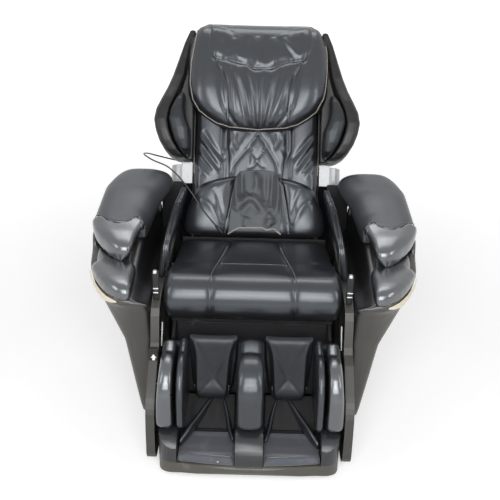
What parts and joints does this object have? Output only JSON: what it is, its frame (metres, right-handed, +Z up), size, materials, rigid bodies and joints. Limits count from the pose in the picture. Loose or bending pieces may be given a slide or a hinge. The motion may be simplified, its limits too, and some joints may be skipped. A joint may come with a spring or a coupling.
{
  "type": "massage chair",
  "caption": "Full-body massage chair with a reclining back, padded hand-slot arms, a lifting legrest with calf and foot wells, and a roller carriage behind the back cover.",
  "frame": {"origin": "on the floor, below the middle of the chair's bounding box", "axes": "+Z up, the sitter faces -Y, +X to the right as seen from the front"},
  "size_m": [0.992, 1.2118, 1.1029],
  "materials": {
    "black_leather": "glossy black upholstery",
    "steel_frame": "black powder coat",
    "bright_steel": "ground steel",
    "black_plastic": "fine moulded grain",
    "brown_plastic": "satin dark brown grey",
    "grey_plastic": "satin grey",
    "champagne": "pale metallic",
    "white_plastic": "white",
    "rubber": "matt",
    "roller_plastic": "ivory",
    "motor_metal": "dark grey",
    "sole_fabric": "navy grey mesh",
    "red_plastic": "red rocker",
    "lead_rubber": "thin black sheath"
  },
  "bodies": {
    "base": {"floor_runners": "steel_frame", "frame_crossbars": "steel_frame", "side_frames": "steel_frame", "base_tray": "steel_frame", "seat_pan": "steel_frame", "seat_cushion": "black_leather", "left_base_cover": "black_plastic", "right_base_cover": "black_plastic", "rear_panel": "black_plastic", "rubber_feet": "rubber", "power_inlet": "black_plastic", "front_panel": "black_plastic", "wheel_forks": "steel_frame", "air_pump": "motor_metal", "control_box": "motor_metal", "recline_actuator": "motor_metal", "legrest_actuator": "motor_metal", "seat_guards": "black_leather", "pivot_pins": "bright_steel", "guide_strips": "white_plastic", "arm_shells": "brown_plastic", "arm_hoods": "black_leather", "arm_pads": "black_leather", "hand_pads": "black_leather", "arm_trims": "champagne"},
    "power_rocker": {"rocker_switch": "red_plastic"},
    "wheel_left": {"left_wheel": "rubber"},
    "wheel_right": {"right_wheel": "rubber"},
    "recline_rod": {"recline_rod": "bright_steel"},
    "legrest_rod": {"legrest_rod": "bright_steel"},
    "backrest": {"back_frame": "steel_frame", "back_shell": "black_plastic", "guide_rails": "bright_steel", "screw_motor": "motor_metal", "back_cover": "black_leather", "lumbar_pad": "black_leather", "lumbar_flap": "black_leather", "head_pillow": "black_leather", "back_side_covers": "grey_plastic", "shoulder_shells": "black_plastic", "shoulder_pads": "black_leather", "handset_lead": "lead_rubber", "lead_fittings": "black_plastic"},
    "lift_screw": {"lift_screw": "bright_steel"},
    "carriage": {"massage_carriage": "bright_steel", "kneading_motor": "motor_metal"},
    "kneading_shaft": {"kneading_shaft": "bright_steel"},
    "roller_arm_left": {"left_roller_arm": "motor_metal"},
    "roller_arm_right": {"right_roller_arm": "motor_metal"},
    "roller_upper_left": {"upper_left_roller": "roller_plastic"},
    "roller_lower_left": {"lower_left_roller": "roller_plastic"},
    "roller_upper_right": {"upper_right_roller": "roller_plastic"},
    "roller_lower_right": {"lower_right_roller": "roller_plastic"},
    "legrest": {"calf_frame": "steel_frame", "calf_walls": "black_leather", "calf_side_pads": "black_leather", "calf_divider": "black_leather", "calf_pads": "black_leather"},
    "foot_unit": {"foot_unit": "brown_plastic", "foot_soles": "sole_fabric"}
  },
  "joints": [
    {"name": "back_recline", "type": "hinge", "parent": "base", "child": "backrest", "pos_m": [0, 0.12, 0.36], "axis": [-1, 0, 0], "range_deg": [0, 48]},
    {"name": "recline_rod_slide", "type": "slide", "parent": "base", "child": "recline_rod", "axis": [0, -1, 0], "range_m": [0, 0.08915]},
    {"name": "legrest_lift", "type": "hinge", "parent": "base", "child": "legrest", "pos_m": [0, -0.362, 0.3], "axis": [-1, 0, 0], "range_deg": [0, 72]},
    {"name": "legrest_rod_slide", "type": "slide", "parent": "base", "child": "legrest_rod", "axis": [0, -1, 0], "range_m": [0, 0.09019]},
    {"name": "legrest_extend", "type": "slide", "parent": "legrest", "child": "foot_unit", "axis": [0, 0, -1], "range_m": [0, 0.1]},
    {"name": "carriage_lift", "type": "slide", "parent": "backrest", "child": "carriage", "axis": [0, 0.454, 0.891], "range_m": [0, 0.4]},
    {"name": "lift_screw_spin", "type": "hinge", "parent": "backrest", "child": "lift_screw", "pos_m": [0, 0.38404, 0.61828], "axis": [0, 0.454, 0.891], "range_deg": [0, 7201]},
    {"name": "kneading_spin", "type": "hinge", "parent": "carriage", "child": "kneading_shaft", "pos_m": [0, 0.27656, 0.48225], "axis": [1, 0, 0], "continuous": true},
    {"name": "left_arm_rock", "type": "hinge", "parent": "carriage", "child": "roller_arm_left", "pos_m": [-0.049, 0.27656, 0.48225], "axis": [1, 0, 0], "range_deg": [-6, 6]},
    {"name": "upper_left_roller_spin", "type": "hinge", "parent": "roller_arm_left", "child": "roller_upper_left", "pos_m": [-0.07, 0.28511, 0.54748], "axis": [1, 0, 0], "continuous": true},
    {"name": "lower_left_roller_spin", "type": "hinge", "parent": "roller_arm_left", "child": "roller_lower_left", "pos_m": [-0.07, 0.22881, 0.43699], "axis": [1, 0, 0], "continuous": true},
    {"name": "right_arm_rock", "type": "hinge", "parent": "carriage", "child": "roller_arm_right", "pos_m": [0.049, 0.27656, 0.48225], "axis": [1, 0, 0], "range_deg": [-6, 6]},
    {"name": "upper_right_roller_spin", "type": "hinge", "parent": "roller_arm_right", "child": "roller_upper_right", "pos_m": [0.07, 0.28511, 0.54748], "axis": [1, 0, 0], "continuous": true},
    {"name": "lower_right_roller_spin", "type": "hinge", "parent": "roller_arm_right", "child": "roller_lower_right", "pos_m": [0.07, 0.22881, 0.43699], "axis": [1, 0, 0], "continuous": true},
    {"name": "left_wheel_spin", "type": "hinge", "parent": "base", "child": "wheel_left", "pos_m": [-0.24, 0.434, 0.033], "axis": [1, 0, 0], "continuous": true},
    {"name": "right_wheel_spin", "type": "hinge", "parent": "base", "child": "wheel_right", "pos_m": [0.24, 0.434, 0.033], "axis": [1, 0, 0], "continuous": true},
    {"name": "power_switch", "type": "hinge", "parent": "base", "child": "power_rocker", "pos_m": [-0.112, 0.408, 0.074], "axis": [1, 0, 0], "range_deg": [-8, 8]}
  ],
  "couplings": [
    {"joint": "recline_rod_slide", "follows": "back_recline", "m_per_rad": 0.10629},
    {"joint": "legrest_rod_slide", "follows": "legrest_lift", "m_per_rad": 0.071692},
    {"joint": "lift_screw_spin", "follows": "carriage_lift", "rad_per_m": 314.16}
  ]
}
